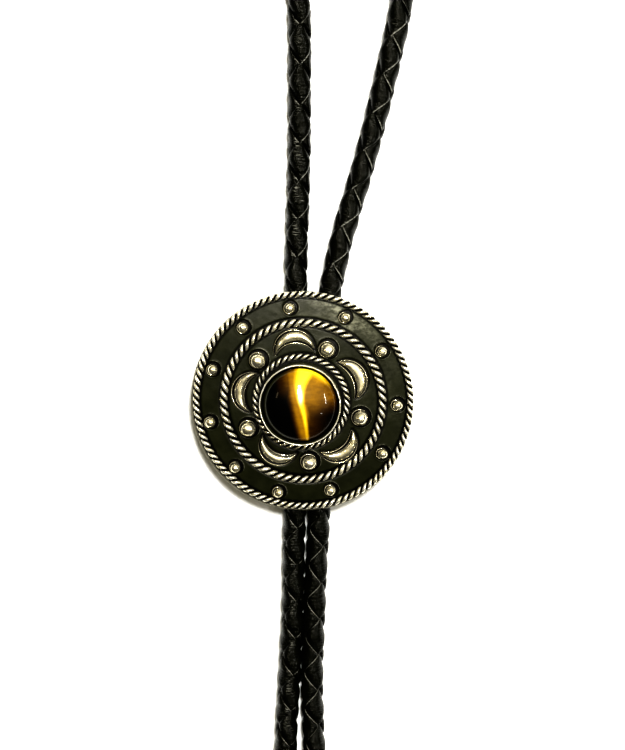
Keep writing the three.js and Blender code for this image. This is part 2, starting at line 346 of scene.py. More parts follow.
def tigers_eye():
    """Golden brown stone: a bright chatoyant band painted fixed across fine fibres, a painted reflection, under a
    polished clear surface.
    """
    n = Nodes("tigers_eye")
    fibre = n.noise(n.place((0.30, 1.0, 0.5)), 1700.0, 4.0, 0.6)
    coarse = n.noise(n.place((0.8, 1.0, 0.6)), 420.0, 4.0, 0.6)
    glow, warm, olive, pale = n.attribute("glow"), n.attribute("warm"), n.attribute("olive"), n.attribute("pale")
    stir = n.math("ADD", n.math("MULTIPLY", n.math("SUBTRACT", fibre, 0.5), 0.22), n.math("MULTIPLY", n.math("SUBTRACT", coarse, 0.5), 0.42))
    warm2 = n.math("ADD", warm, n.math("MULTIPLY", stir, n.span(warm, 0.02, 0.5)), clamp=True)
    painted_chatoyance_fibred = n.math("ADD", glow, n.math("MULTIPLY", stir, n.math("MULTIPLY", glow, 0.5)), clamp=True)
    base = n.tree.nodes.new("ShaderNodeValToRGB")
    n.tree.links.new(warm2, base.inputs["Fac"])
    ramp = base.color_ramp
    ramp.elements[0].position, ramp.elements[0].color = 0.0, (0.0010, 0.0010, 0.0006, 1.0)
    ramp.elements[1].position, ramp.elements[1].color = 1.0, (0.46, 0.275, 0.016, 1.0)
    for at, colour in ((0.25, (0.034, 0.0155, 0.0015)), (0.5, (0.110, 0.056, 0.004)), (0.75, (0.250, 0.136, 0.009))):
        ramp.elements.new(at).color = (*colour, 1.0)
    gold = n.mix(n.span(painted_chatoyance_fibred, 0.60, 1.0), (0.56, 0.36, 0.018), (0.96, 0.80, 0.052))
    colour = n.mix(n.span(painted_chatoyance_fibred, 0.12, 0.72), base.outputs["Color"], gold)
    colour = n.mix(olive, colour, (0.030, 0.031, 0.014))
    # Painted highlight: pale yellow-white where the band faces the light.
    colour = n.mix(pale, colour, (0.98, 0.95, 0.66))
    n.set(Base_Color=colour, Roughness=0.30)
    n.shader.inputs["Specular IOR Level"].default_value = 0.10
    n.shader.inputs["Coat Weight"].default_value = 1.0
    n.shader.inputs["Coat Roughness"].default_value = 0.05
    n.shader.inputs["Coat IOR"].default_value = 1.30
    return n.material


SILVER = antiqued_metal("antique_silver")
BEAD_SILVER = antiqued_metal("antique_silver_beads", silver=(0.98, 0.93, 0.76), black=(0.002, 0.002, 0.0015), polish=0.17, metal=0.90, ragged=0.28)
BEZEL_SILVER = antiqued_metal("antique_silver_bezel", silver=(0.90, 0.87, 0.78), black=(0.048, 0.048, 0.025), polish=0.18, metal=0.66, ragged=0.30)
DISC = panel_metal()
CLIP_METAL = plain_metal("clip_metal", (0.56, 0.54, 0.47), 0.34)
TIP_METAL = plain_metal("tip_metal", (0.70, 0.675, 0.57), 0.20)
LEATHER = leather()
STONE_MATERIAL = tigers_eye()

# ------------------------------------------------------------------------------------------------
# Braided cord: the same route as the plain tube, in millimetres, from the left tip round the neck to the right tip.
# ------------------------------------------------------------------------------------------------
FLOOR_Z, CHANNEL_Z = 2.4, 3.15
LEFT_RUN = [
    (-3.75, -77.3, 2.95), (-3.50, -69.0, 2.45), (-2.93, -60.0, FLOOR_Z), (-2.12, -42.7, FLOOR_Z),
    (-1.92, -29.0, 2.45), (-1.35, -14.0, 2.95), (-1.15, -5.5, CHANNEL_Z), (-1.15, 5.5, CHANNEL_Z),
    (-1.18, 14.0, 2.95), (-1.38, 27.0, 2.45), (-0.85, 45.0, FLOOR_Z), (-0.65, 63.0, FLOOR_Z),
    (-1.00, 82.0, FLOOR_Z), (-4.60, 102.0, FLOOR_Z), (-11.5, 124.0, FLOOR_Z), (-17.8, 148.0, FLOOR_Z),
    (-20.0, 178.0, FLOOR_Z)]
LOOP_X, LOOP_Y, LOOP_R = 0.6, 224.0, 20.6
LOOP = [(LOOP_X - LOOP_R * math.cos(math.radians(a)), LOOP_Y + LOOP_R * math.sin(math.radians(a)), FLOOR_Z)
        for a in (0, 36, 72, 108, 144, 180)]
RIGHT_RUN = [
    (21.2, 200.0, FLOOR_Z), (21.4, 165.0, FLOOR_Z), (21.7, 128.0, FLOOR_Z), (21.5, 98.0, FLOOR_Z),
    (19.7, 80.5, FLOOR_Z), (16.6, 65.5, FLOOR_Z), (12.6, 49.4, FLOOR_Z), (7.3, 30.6, 2.45),
    (4.55, 15.5, 2.90), (3.80, 5.5, CHANNEL_Z), (3.75, -5.5, CHANNEL_Z), (3.60, -14.0, 2.95),
    (3.05, -29.0, 2.45), (2.38, -42.7, FLOOR_Z), (1.85, -60.0, FLOOR_Z), (2.05, -69.0, 2.45),
    (2.45, -77.3, 2.95)]
CORD_END_IN_TIP = 1.6     # how far the braid runs on into a tip


def catmull(points, per_span=60):
    """Centripetal Catmull-Rom curve through the points, finely sampled."""
    p = np.asarray(points, float)
    p = np.vstack([2 * p[0] - p[1], p, 2 * p[-1] - p[-2]])
    out = []
    for i in range(1, len(p) - 2):
        p0, p1, p2, p3 = p[i - 1:i + 3]
        t0 = 0.0
        t1 = t0 + np.linalg.norm(p1 - p0) ** 0.5
        t2 = t1 + np.linalg.norm(p2 - p1) ** 0.5
        t3 = t2 + np.linalg.norm(p3 - p2) ** 0.5
        t = np.linspace(t1, t2, per_span, endpoint=False)[:, None]
        a1 = (t1 - t) / (t1 - t0) * p0 + (t - t0) / (t1 - t0) * p1
        a2 = (t2 - t) / (t2 - t1) * p1 + (t - t1) / (t2 - t1) * p2
        a3 = (t3 - t) / (t3 - t2) * p2 + (t - t2) / (t3 - t2) * p3
        b1 = (t2 - t) / (t2 - t0) * a1 + (t - t0) / (t2 - t0) * a2
        b2 = (t3 - t) / (t3 - t1) * a2 + (t - t1) / (t3 - t1) * a3
        out.append((t2 - t) / (t2 - t1) * b1 + (t - t1) / (t2 - t1) * b2)
    out.append(p[-2:-1])
    return np.vstack(out)


def arc_lengths(line):
    return np.concatenate([[0.0], np.cumsum(np.linalg.norm(np.diff(line, axis=0), axis=1))])


route = catmull(LEFT_RUN + LOOP + RIGHT_RUN)
first = route[0] + (route[0] - route[1]) / np.linalg.norm(route[0] - route[1]) * CORD_END_IN_TIP
last = route[-1] + (route[-1] - route[-2]) / np.linalg.norm(route[-1] - route[-2]) * CORD_END_IN_TIP
route = np.vstack([first, route, last])
route_s = arc_lengths(route)
CORD_LENGTH = route_s[-1]
apex = int(route[:, 1].argmax())

# Where two laces cross at the middle of the seen side, as (y on the run, how far the braid is turned there in degrees).
# The braid repeats once between two rows of a stretch; between stretches it adapts.
LEFT_CROSSINGS = [(-58.2, 34), (-50.2, 34), (-42.3, 34), (-34.6, 33), (-26.6, 31),
                  (29.6, 12), (37.3, 11), (45.0, 11), (52.6, 12), (60.05, 12), (68.2, 13)]
RIGHT_CROSSINGS = [(65.7, 25), (58.2, 25), (50.6, 25), (43.0, 25), (35.3, 25), (27.6, 23),
                   (-30.4, -46), (-38.3, -46), (-46.0, -46), (-53.7, -46)]
USUAL_REPEAT = 7.75       # mm of cord between two crossings of one column


def braid_phase():
    """Tables of cord length against braid phase and turn."""
    rows = []
    for table, part in ((LEFT_CROSSINGS, slice(0, apex + 1)), (RIGHT_CROSSINGS, slice(apex, len(route)))):
        ys, ss = route[part, 1], route_s[part]
        order = np.argsort(ys)
        for y, turn in table:
            rows.append((float(np.interp(y, ys[order], ss[order])), math.radians(turn)))
    rows.sort()
    s = np.array([r[0] for r in rows])
    turns = np.array([r[1] for r in rows])
    phase = [math.pi / 2.0]
    for a, b in zip(s[:-1], s[1:]):
        phase.append(phase[-1] + math.pi * max(1, round((b - a) / USUAL_REPEAT)))
    phase = np.array(phase)
    lead = math.pi / USUAL_REPEAT
    s = np.concatenate([[s[0] - 60.0], s, [s[-1] + 60.0]])
    phase = np.concatenate([[phase[0] - 60.0 * lead], phase, [phase[-1] + 60.0 * lead]])
    turns = np.concatenate([[turns[0]], turns, [turns[-1]]])
    return s, phase, turns


PHASE_S, PHASE, TURN = braid_phase()
fine_s = np.linspace(0.0, CORD_LENGTH, 6000)
fine_phase = np.interp(fine_s, PHASE_S, PHASE)
kernel = np.hanning(61)
kernel /= kernel.sum()
padded = np.concatenate([fine_phase[0] + (fine_phase[1] - fine_phase[0]) * np.arange(-30, 0), fine_phase,
                         fine_phase[-1] + (fine_phase[-1] - fine_phase[-2]) * np.arange(1, 31)])
fine_phase = np.convolve(padded, kernel, mode="valid")


def on_route(s):
    """Point, direction, up and side on the centreline at arc length s."""
    s = np.clip(s, 0.0, CORD_LENGTH)
    point = np.stack([np.interp(s, route_s, route[:, k]) for k in range(3)], axis=-1)
    step = 1.2
    ahead = np.stack([np.interp(np.clip(s + step, 0, CORD_LENGTH), route_s, route[:, k]) for k in range(3)], axis=-1)
    behind = np.stack([np.interp(np.clip(s - step, 0, CORD_LENGTH), route_s, route[:, k]) for k in range(3)], axis=-1)
    along = ahead - behind
    along /= np.linalg.norm(along, axis=-1, keepdims=True)
    up = np.array([0.0, 0.0, 1.0]) - along * along[..., 2:3]
    up /= np.linalg.norm(up, axis=-1, keepdims=True)
    side = np.cross(along, up)
    return point, along, up, side


LACE_THICK = 1.05
LACE_MIDDLE = 1.49        # radius of a lace's middle where it neither rises nor dips
LACE_RISE = 0.40
LACE_COVER = {1: 1.13, -1: 0.90}     # share of its room that a lace of each hand fills
LACE_SECTION = 16
LACE_STEPS = 1430


def braided_cord():
    shape = Shape()
    low, high = fine_phase[0], fine_phase[-1]
    angle = 2.0 * math.pi * (np.arange(LACE_SECTION) + 0.5) / LACE_SECTION
    c, s_ = np.cos(angle), np.sin(angle)
    across = np.sign(c) * np.abs(c) ** 0.42
    thick = np.sign(s_) * np.abs(s_) ** 0.42
    centre_phase = np.linspace(low, high, LACE_STEPS)
    for hand in (1, -1):
        for lace in (0, 1):
            seed = 11 + 3 * lace + (5 if hand > 0 else 0)
            u = across[None, :] * LACE_COVER[hand] * math.pi / 2.0
            f = centre_phase[:, None]
            own = lace * math.pi + u                          # constant along the lace's middle
            if hand > 0:
                p, q = own, lace * math.pi + 2.0 * f - u * 0.0
                q = np.broadcast_to(q, (LACE_STEPS, LACE_SECTION))
                p = np.broadcast_to(p, (LACE_STEPS, LACE_SECTION))
                crossing = q
            else:
                q = np.broadcast_to(own, (LACE_STEPS, LACE_SECTION))
                p = np.broadcast_to(lace * math.pi - 2.0 * f, (LACE_STEPS, LACE_SECTION))
                crossing = p
            azimuth = (p + q) / 2.0
            phase = np.clip((q - p) / 2.0, low, high)
            s = np.interp(phase, fine_phase, fine_s)
            turn = np.interp(s, PHASE_S, TURN)
            point, along, up, side = on_route(s)
            over = np.cos(crossing) * (1 if lace == 0 else -1) * hand
            lift = np.tanh(2.3 * over) / math.tanh(2.3)
            walk = s[..., None] * np.array([1.0, 0.0, 0.0]) + azimuth[..., None] * np.array([0.0, 0.7, 0.0])
            uneven = ripple(walk, 9.0, seed) * 0.030 + ripple(walk, 2.6, seed + 40) * 0.018
            radius = LACE_MIDDLE + LACE_RISE * lift + (LACE_THICK / 2.0) * thick[None, :] + uneven
            radius = np.maximum(radius, 0.03)
            theta = azimuth + turn
            place = point + (np.cos(theta) * radius)[..., None] * up + (np.sin(theta) * radius)[..., None] * side
            place[..., 2] = np.maximum(place[..., 2], 0.01)
            # Lace length and width for the creases and the grain.
            length = s / math.cos(math.radians(42.0))
            uv = np.stack([length, np.broadcast_to(across[None, :] * 2.2 + 6.0 * lace + (14.0 if hand > 0 else 0.0), length.shape)], axis=-1)
            # Painted shade: lace edges darker, most where the lace passes under its neighbour, and its underside dark.
            edge = np.broadcast_to(smooth(0.80, 1.0, np.abs(across))[None, :], length.shape) * (1.0 - 0.6 * smooth(0.0, 0.6, over))
            edge = np.maximum(edge, np.broadcast_to((thick < 0)[None, :], length.shape) * 1.0)
            # Painted glint: a bright line painted along one edge of the lace that lies on top; which one depends on how
            # the run is turned.
            rim = ((np.abs(across) > 0.90) & (np.abs(across) < 0.97) & (thick > 0)) * 1.0
            right_run = s > route_s[apex]
            right_tail = right_run & (point[..., 1] < -10.0)
            flip = np.where(right_tail | ((hand < 0) & ~right_run), -1.0, 1.0)
            low_side = smooth(0.0, 0.5, flip * hand * along[..., 1] * np.sign(across)[None, :])
            patchy = 0.35 + 0.65 * smooth(-1.4, 0.0, ripple(walk, 5.0, seed + 70))
            across_view = np.sin(theta) * side[..., 0]        # -1 at the left edge of the run, 1 at the right
            tail = point[..., 1] < -10.0
            reach = np.where(right_run, 1.0, np.where(hand < 0, 0.80 * smooth(-0.62, -0.18, across_view), 1.0))
            reach = reach * np.where(right_tail, 0.72 - 0.20 * smooth(-0.2, 0.7, across_view), np.where(tail, 0.88, 1.0))
            shine = rim[None, :] * low_side * smooth(-0.55, 0.0, over) * smooth(0.20, 0.70, np.cos(theta)) * patchy * reach
            # Painted glint flecks down the middle of the seen side, where the creases would catch the light.
            middle = np.where(tail & ~right_run, 0.05, -0.16)
            much = np.where(right_tail, 0.06, np.where(right_run, 0.22, np.where(tail, 0.42, 0.80)))
            fleck = much * np.exp(-((across_view - middle) / 0.15) ** 2) * smooth(0.0, 0.5, over) * (thick > 0)[None, :]
            fleck = fleck * (np.cos(theta) > 0.0) * smooth(-0.9, 0.6, ripple(walk, 6.0, seed + 90))
            shape.add(place, grid_faces(LACE_STEPS, LACE_SECTION, close_columns=True), uv=uv.reshape(-1, 2), edge=edge.reshape(-1),
                      shine=shine.reshape(-1), fleck=fleck.reshape(-1))
            # Ends, hidden inside the tips.
            for row, flip in ((0, False), (LACE_STEPS - 1, True)):
                ring = place[row]
                ids = np.arange(LACE_SECTION)
                tri = np.stack([np.full(LACE_SECTION, LACE_SECTION), ids, (ids + 1) % LACE_SECTION], axis=1)
                if flip:
                    tri = tri[:, ::-1]
                shape.add(np.vstack([ring, ring.mean(axis=0)]), None, tri, edge=1.0)
    return shape.make("braided_leather", LEATHER)


cord = braided_cord()
line_s = np.arange(0.0, CORD_LENGTH, 1.5)
cord_line = [tuple(p * MM) for p in on_route(np.append(line_s, CORD_LENGTH))[0]]

# ------------------------------------------------------------------------------------------------
# Concho
# ------------------------------------------------------------------------------------------------
DISC_R, DISC_T, DISC_RISE, RIM_TOP_Z = 22.6, 1.2, 1.5, 6.6
ROPES_X, ROPES_Y = 0.32, 0.32
RINGS_X, RINGS_Y = 0.20, 0.26
OUTER_ROPE = (21.80, 0.70)
MIDDLE_ROPE = (16.14, 0.82)
BEZEL_ROPE = (9.30, 0.64)
ROPE_SUNK = 0.25
BEZEL_X, BEZEL_Y, BEZEL_R, BEZEL_WALL, BEZEL_TOP = 0.0, 0.27, 8.25, 0.50, 12.40
STONE_R, STONE_LOW, STONE_GIRDLE, STONE_TOP = 7.42, 8.45, 11.60, 14.80
OUTER_BEADS = [(-2.26, 19.33), (-11.76, 15.27), (8.85, 17.51), (16.27, 10.75), (19.46, -0.25), (16.52, -10.27),
               (5.98, -18.04), (-4.74, -18.61), (-13.51, -13.51), (-18.57, -4.22), (-18.02, 6.65)]
INNER_BEADS = [(5.37, 11.12), (12.02, -2.72), (1.67, -12.03), (-10.76, -5.22), (-8.71, 8.75)]
OUTER_BEAD_R, INNER_BEAD_R = 1.16, 1.68
# Crescents: clock angle, distance out, half the chord, rise of the outer and of the inner arc, turn.
CRESCENTS = [
    (352.0, 10.3, 4.00, 4.50, 2.05, 0.0), (63.5, 10.1, 4.10, 4.15, 1.30, 0.0), (139.0, 10.6, 3.95, 4.45, 1.70, 5.0),
    (207.5, 10.0, 3.90, 4.15, 1.85, 0.0), (280.5, 10.1, 4.05, 4.25, 1.85, 0.0)]
CRESCENT_H = 0.95


def disc_top(r):
    return RIM_TOP_Z + DISC_RISE * (1.0 - (np.asarray(r, float) / DISC_R) ** 2)


def crescent_frame(row):
    """The crescent's two arcs as functions of a place from tip (-1) to tip (+1), in the disc's plane."""
    clock, out, half, outer, inner, turn = row
    at = math.radians(clock)
    centre = np.array([RINGS_X + out * math.sin(at), RINGS_Y + out * math.cos(at)])
    spin = -math.radians(clock + turn)
    cs, sn = math.cos(spin), math.sin(spin)

    def arc(rise, t):
        r = (half * half + rise * rise) / (2.0 * rise)
        cy = rise - r
        a0 = math.atan2(-cy, half)
        a = a0 + (math.pi - 2.0 * a0) * (t + 1.0) / 2.0
        x, y = r * np.cos(a), cy + r * np.sin(a)
        return np.stack([centre[0] + cs * x - sn * y, centre[1] + sn * x + cs * y], axis=-1)

    return (lambda t: arc(outer, t)), (lambda t: arc(inner, t))


def disc():
    """Domed disc: face with dark pits round the beads and dark lines along the ropes, rounded edge, hollow back."""
    shape = Shape()
    steps = 720
    radii = np.concatenate([np.linspace(0.0, 8.0, 6)[1:], np.linspace(8.2, 22.28, 98)])
    a = 2.0 * math.pi * np.arange(steps) / steps
    x = radii[:, None] * np.sin(a)
    y = radii[:, None] * np.cos(a)
    z = np.repeat(disc_top(radii)[:, None], steps, axis=1)
    worn = np.zeros_like(x)
    pit = np.zeros_like(x)
    # Dark lines where the ropes are soldered on.
    ring = np.hypot(x - ROPES_X, y - ROPES_Y)
    for radius, wire in (OUTER_ROPE, MIDDLE_ROPE):
        gap = np.abs(ring - radius) - wire
        pit = np.maximum(pit, 1.0 - smooth(0.05, 0.50, gap))
        z -= 0.10 * (1.0 - smooth(0.10, 0.45, gap))
    bezel = np.hypot(x - BEZEL_X, y - BEZEL_Y)
    gap = bezel - BEZEL_ROPE[0] - BEZEL_ROPE[1]
    pit = np.maximum(pit, 1.0 - smooth(0.0, 0.55, gap))
    z -= 0.08 * (1.0 - smooth(0.0, 0.5, gap))
    # A moat round each bead, with a raised outer lip coloured as bright bare metal: a painted highlight line, stronger
    # on the upper-right side.
    for places, r, width in ((OUTER_BEADS, OUTER_BEAD_R, 0.46), (INNER_BEADS, INNER_BEAD_R, 0.50)):
        for bx, by in places:
            far = np.hypot(x - bx, y - by)
            moat = 1.0 - smooth(r + width * 0.72, r + width * 1.12, far)
            pit = np.maximum(pit, moat)
            z -= 0.22 * moat
            lip = np.exp(-((far - r - width * 1.28) / 0.11) ** 2)
            side = smooth(-0.4, 0.9, ((x - bx) * 0.75 + (y - by) * 0.66) / np.maximum(far, 0.1))
            worn = np.maximum(worn, (0.36 + 0.26 * side) * lip)
            z += 0.05 * lip
    # A softer moat round each crescent, ringed by a thin painted highlight line.
    plane = np.stack([x, y], axis=-1)
    for row in CRESCENTS:
        outer, inner = crescent_frame(row)
        t = np.linspace(-1.0, 1.0, 41)
        rim = np.vstack([outer(t), inner(t)])
        near = np.hypot(x - rim[:, 0].mean(), y - rim[:, 1].mean()) < 8.0
        d = np.full(x.shape, 9.0)
        pts = plane[near]
        d[near] = np.sqrt(((pts[:, None, :] - rim[None, :, :]) ** 2).sum(-1)).min(axis=1)
        moat = 1.0 - smooth(0.28, 0.55, d)
        pit = np.maximum(pit, moat * 0.95)
        z -= 0.12 * moat
        worn = np.maximum(worn, 0.30 * np.exp(-((d - 0.66) / 0.10) ** 2))
    # Ropes stand on it, so the painted highlight lines and pits end there.
    worn *= (1.0 - smooth(20.55, 20.75, ring)) * (1.0 - smooth(15.1, 15.25, ring) * (1.0 - smooth(16.95, 17.1, ring)))
    spots = ripple(np.stack([x, y, 0 * x], axis=-1), 5.0, 3) * 0.012 + ripple(np.stack([x, y, 0 * x], axis=-1), 1.7, 5) * 0.004
    z += spots
    bare = np.zeros_like(x)
    # Painted sheen: a lighter grey patch where the face catches the light, strongest in the outer band toward the upper
    # right, mottled.
    clock = np.degrees(np.arctan2(x, y))
    cloud = 0.5 + 0.5 * np.clip(1.5 * ripple(np.stack([x, y, 0 * x], axis=-1), 4.0, 21), -1, 1)
    outer_band = smooth(16.95, 17.5, ring) * (1.0 - smooth(20.3, 20.9, ring))
    haze = outer_band * (1.1 * np.exp(-((clock - 24.0) / 19.0) ** 2) * (0.30 + 0.70 * cloud) + 0.09 * np.exp(-((clock + 25.0) / 22.0) ** 2) * cloud
                         + 0.13 * np.exp(-((clock - 75.0) / 30.0) ** 2) * cloud)
    haze = np.minimum(haze, 1.0)
    haze += (1.0 - outer_band) * (1.0 - smooth(14.6, 15.2, ring)) * 0.06 * cloud * smooth(-140, -20, clock) * (1.0 - smooth(70, 160, clock))
    haze += 0.30 * np.exp(-((np.hypot(x - 3.4, y - 9.6) / 1.3) ** 2)) * cloud
    top = np.stack([x, y, z], axis=-1)
    # Edge, then back.
    edge_profile = [(22.50, 6.585), (22.60, 6.50), (22.62, 6.30), (22.62, 5.80), (22.56, 5.60), (22.40, 5.50)]
    back_radii = np.linspace(22.0, 0.6, 16)
    back = [(r, float(disc_top(r) - DISC_T)) for r in back_radii]
    rest = np.array(edge_profile + back)
    wave = 1.0 + 0.0016 * np.sin(3 * a + 1.0) + 0.0009 * np.sin(7 * a)
    low = np.stack([rest[:, 0][:, None] * np.sin(a) * wave, rest[:, 0][:, None] * np.cos(a) * wave,
                    np.repeat(rest[:, 1][:, None], steps, axis=1)], axis=-1)
    points = np.concatenate([top, low], axis=0)
    rows = points.shape[0]
    n_low = low.shape[0]
    bare = np.concatenate([bare, np.ones((n_low, steps))])
    worn = np.concatenate([worn, np.ones((n_low, steps))])
    pit = np.concatenate([pit, np.zeros((n_low, steps))])
    haze = np.concatenate([haze, np.zeros((n_low, steps))])
    quads = grid_faces(rows, steps, close_columns=True)[:, ::-1]
    j = np.arange(steps)
    j2 = (j + 1) % steps
    n = rows * steps
    points = np.vstack([points.reshape(-1, 3), [0, 0, float(disc_top(0))], [0, 0, float(disc_top(0)) - DISC_T]])
    triangles = np.vstack([np.stack([np.full(steps, n), j2, j], axis=1),
                           np.stack([np.full(steps, n + 1), (rows - 1) * steps + j, (rows - 1) * steps + j2], axis=1)])
    shape.add(points, quads, triangles, worn=np.append(worn.reshape(-1), [0, 1]), bare=np.append(bare.reshape(-1), [0, 1]),
              pit=np.append(pit.reshape(-1), [0, 0]), haze=np.append(haze.reshape(-1), [0, 0]))
    return shape.make("concho_disc", DISC)


def rope(name, radius, wire, crests, x, y, seed, start=0.0):
    """A ring of two wires twisted together. With an odd number of crests it is one wire that goes round twice."""
    shape = Shape()
    laps = 2 if crests % 2 else 1
    per_crest = 20
    steps = crests * laps * per_crest // (2 if laps == 1 else 2)
    sides = 12
    for strand in range(1 if laps == 2 else 2):
        t = np.arange(steps) / steps * laps * 2.0 * math.pi
        twist = start - crests / 2.0 * t + strand * math.pi
        uneven = 1.0 + 0.05 * np.sin(5 * t / laps * 2 + seed) + 0.04 * np.sin(17 * t / laps * 1 + 2 * seed)
        hold = wire * 0.53
        thick = wire * 0.48

        def middle(tt, tw):
            out = np.stack([np.sin(tt), np.cos(tt), 0 * tt], axis=-1)
            up = np.array([0.0, 0.0, 1.0])
            return (np.stack([x + radius * np.sin(tt), y + radius * np.cos(tt), 0 * tt + float(disc_top(radius)) + wire - ROPE_SUNK], axis=-1)
                    + hold * (np.cos(tw)[:, None] * out + np.sin(tw)[:, None] * up))

        centre = middle(t, twist)
        e = 1e-4
        ahead = middle(t + e, start - crests / 2.0 * (t + e) + strand * math.pi)
        along = ahead - centre
        along /= np.linalg.norm(along, axis=1, keepdims=True)
        out = np.stack([np.sin(t), np.cos(t), 0 * t], axis=-1)
        away = np.cos(twist)[:, None] * out + np.sin(twist)[:, None] * np.array([0.0, 0.0, 1.0])
        away -= along * (away * along).sum(1, keepdims=True)
        away /= np.linalg.norm(away, axis=1, keepdims=True)
        side = np.cross(along, away)
        angle = 2.0 * math.pi * np.arange(sides) / sides
        ring = (np.cos(angle)[None, :, None] * away[:, None, :] * 0.97 + np.sin(angle)[None, :, None] * side[:, None, :])
        points = centre[:, None, :] + thick * uneven[:, None, None] * ring
        points += ring * (ripple(points, 0.9, seed + strand) * 0.018)[..., None]
        worn = np.broadcast_to(smooth(0.18, 0.66, np.cos(angle))[None, :], (steps, sides))
        height = smooth(-0.10, 0.42, (points[..., 2] - (float(disc_top(radius)) + wire - ROPE_SUNK)) / wire)
        worn = worn * (0.25 + 0.75 * height)
        shape.add(points, grid_faces(steps, sides, close_rows=True, close_columns=True), worn=worn.reshape(-1))
    return shape.make(name, SILVER)


def bead(shape, bx, by, r, sunk, seed):
    """A small melted ball with its solder foot."""
    z = float(disc_top(math.hypot(bx, by))) + r - sunk
    ball = 0.94 * r
    lat, lon = 22, 32
    v = math.pi * (np.arange(1, lat)) / lat
    u = 2.0 * math.pi * np.arange(lon) / lon
    way = np.stack([np.sin(v)[:, None] * np.cos(u), np.sin(v)[:, None] * np.sin(u), np.repeat(np.cos(v)[:, None], lon, 1)], axis=-1)
    lump = 1.0 + 0.030 * ripple(way, 1.3, seed) + 0.012 * ripple(way, 0.5, seed + 9)
    lump = np.where(way[..., 2] > 0, lump, 1.0 + (lump - 1.0) * 0.5)
    points = np.array([bx, by, z + r - ball]) + ball * lump[..., None] * way
    # Bare top, shifted a little toward the upper right where the light falls: wear with a painted highlight, and
    # painted shade low on the lower-left side.
    worn = smooth(0.22, 0.62, way[..., 2] + 0.10 * way[..., 0] + 0.10 * way[..., 1])
    n = (lat - 1) * lon
    ends = np.array([[bx, by, z + r - ball + ball * lump[0].mean()], [bx, by, z + r - 2.0 * ball]])
    j = np.arange(lon)
    j2 = (j + 1) % lon
    tri = np.vstack([np.stack([np.full(lon, n), j, j2], 1), np.stack([np.full(lon, n + 1), (lat - 2) * lon + j2, (lat - 2) * lon + j], 1)])
    quads = grid_faces(lat - 1, lon, close_columns=True)[:, ::-1]
    shape.add(np.vstack([points.reshape(-1, 3), ends]), quads, tri, worn=np.append(worn.reshape(-1), [1, 0]))
    # Foot: a thin skirt of solder that has run out a little to one side; its bright bare rim is a painted highlight
    # arc.
    foot = float(disc_top(math.hypot(bx, by)))
    rng = np.random.default_rng(seed)
    dx, dy = -0.20 - 0.05 * rng.random(), -0.14 - 0.06 * rng.random()
    rr = r * 1.00 + 0.04
    lathe(shape, [(0.0, foot - 0.25), (rr, foot - 0.25), (rr + 0.02, foot + 0.04), (rr - 0.05, foot + 0.16), (rr - 0.15, foot + 0.18),
                  (rr - 0.24, foot + 0.12), (0.0, foot + 0.10)], 40, bx + dx, by + dy, worn=[0, 0.3, 0.9, 1, 0.9, 0.0, 0.0])


def beads(name, places, r, seed):
    shape = Shape()
    for i, (bx, by) in enumerate(places):
        bead(shape, bx, by, r, 0.35, seed + 7 * i)
    return shape.make(name, BEAD_SILVER)


